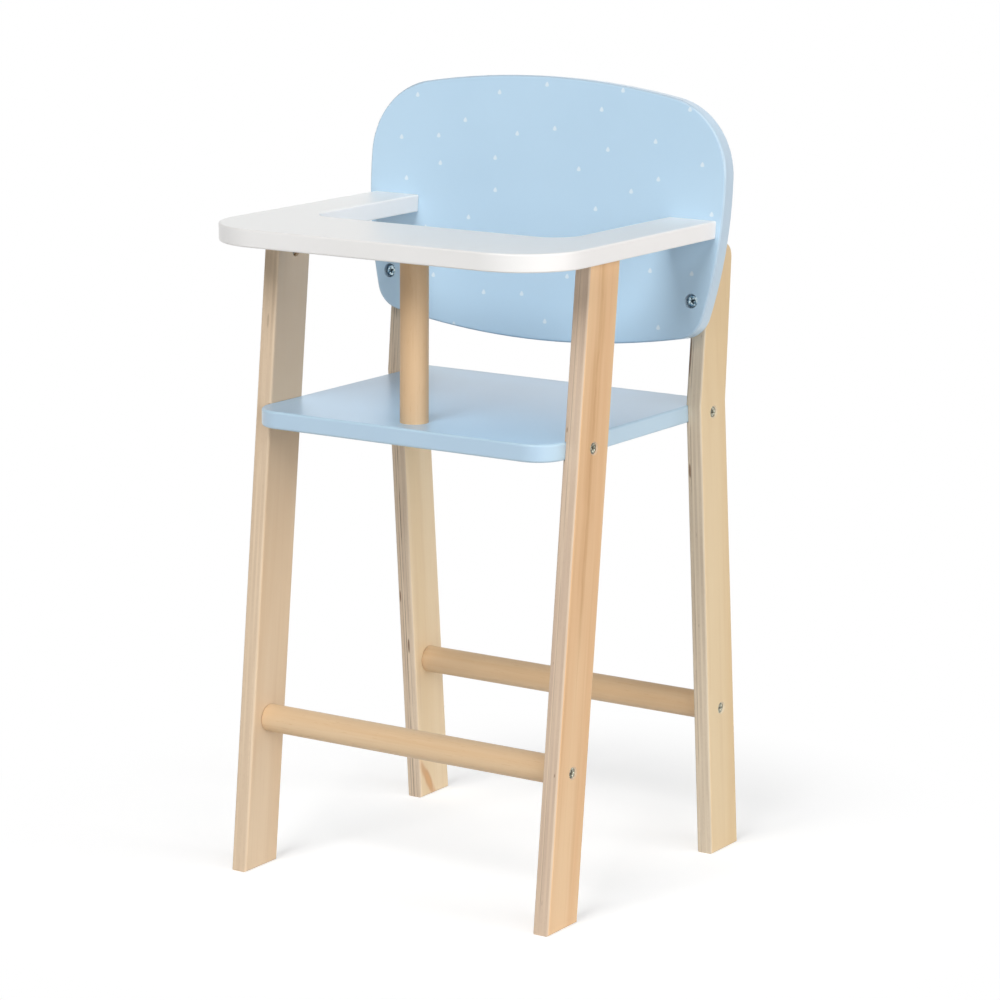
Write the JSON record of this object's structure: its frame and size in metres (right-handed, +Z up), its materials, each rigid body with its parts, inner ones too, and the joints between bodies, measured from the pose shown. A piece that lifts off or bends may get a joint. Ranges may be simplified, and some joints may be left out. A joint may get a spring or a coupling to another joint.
{
  "type": "doll high chair",
  "caption": "Wooden high chair for a doll, with sawn plywood legs, a painted seat, a U-shaped tray and a rounded backrest, joined by rungs, a post and sunk screws",
  "frame": {"origin": "on the floor under the middle of the chair's bounding box", "axes": "+X to the chair's own side that is on the right when seen from the front, +Y from the tray towards the backrest, +Z up from the floor"},
  "size_m": [0.3008, 0.2916, 0.5633],
  "materials": {
    "plywood": "sanded, clear satin lacquer, ply layers on the cut edges",
    "dowel_wood": "smooth turned, clear satin lacquer",
    "blue_paint": "satin pale blue paint on board",
    "patterned_blue_paint": "satin pale blue paint on board, with small scattered white drops",
    "white_paint": "satin warm white paint on board",
    "zinc_steel": "bright zinc plate",
    "pin_wood": "plain beech"
  },
  "bodies": {
    "root": {"front_leg_left": "plywood", "front_leg_right": "plywood", "rear_leg_left": "plywood", "rear_leg_right": "plywood", "seat_board": "blue_paint", "tray_board": "white_paint", "backrest": "patterned_blue_paint", "front_rung": "dowel_wood", "rear_rung": "dowel_wood", "tray_post": "dowel_wood", "seat_front_screws": "zinc_steel", "seat_rear_screws": "zinc_steel", "front_rung_screws": "zinc_steel", "rear_rung_screws": "zinc_steel", "post_screw": "zinc_steel", "backrest_bolts": "zinc_steel", "backrest_barrel_nuts": "zinc_steel", "tray_bolts": "zinc_steel", "tray_barrel_nuts": "zinc_steel", "tray_plugs": "white_paint", "post_dowel": "pin_wood", "arm_dowels": "pin_wood"}
  },
  "joints": []
}
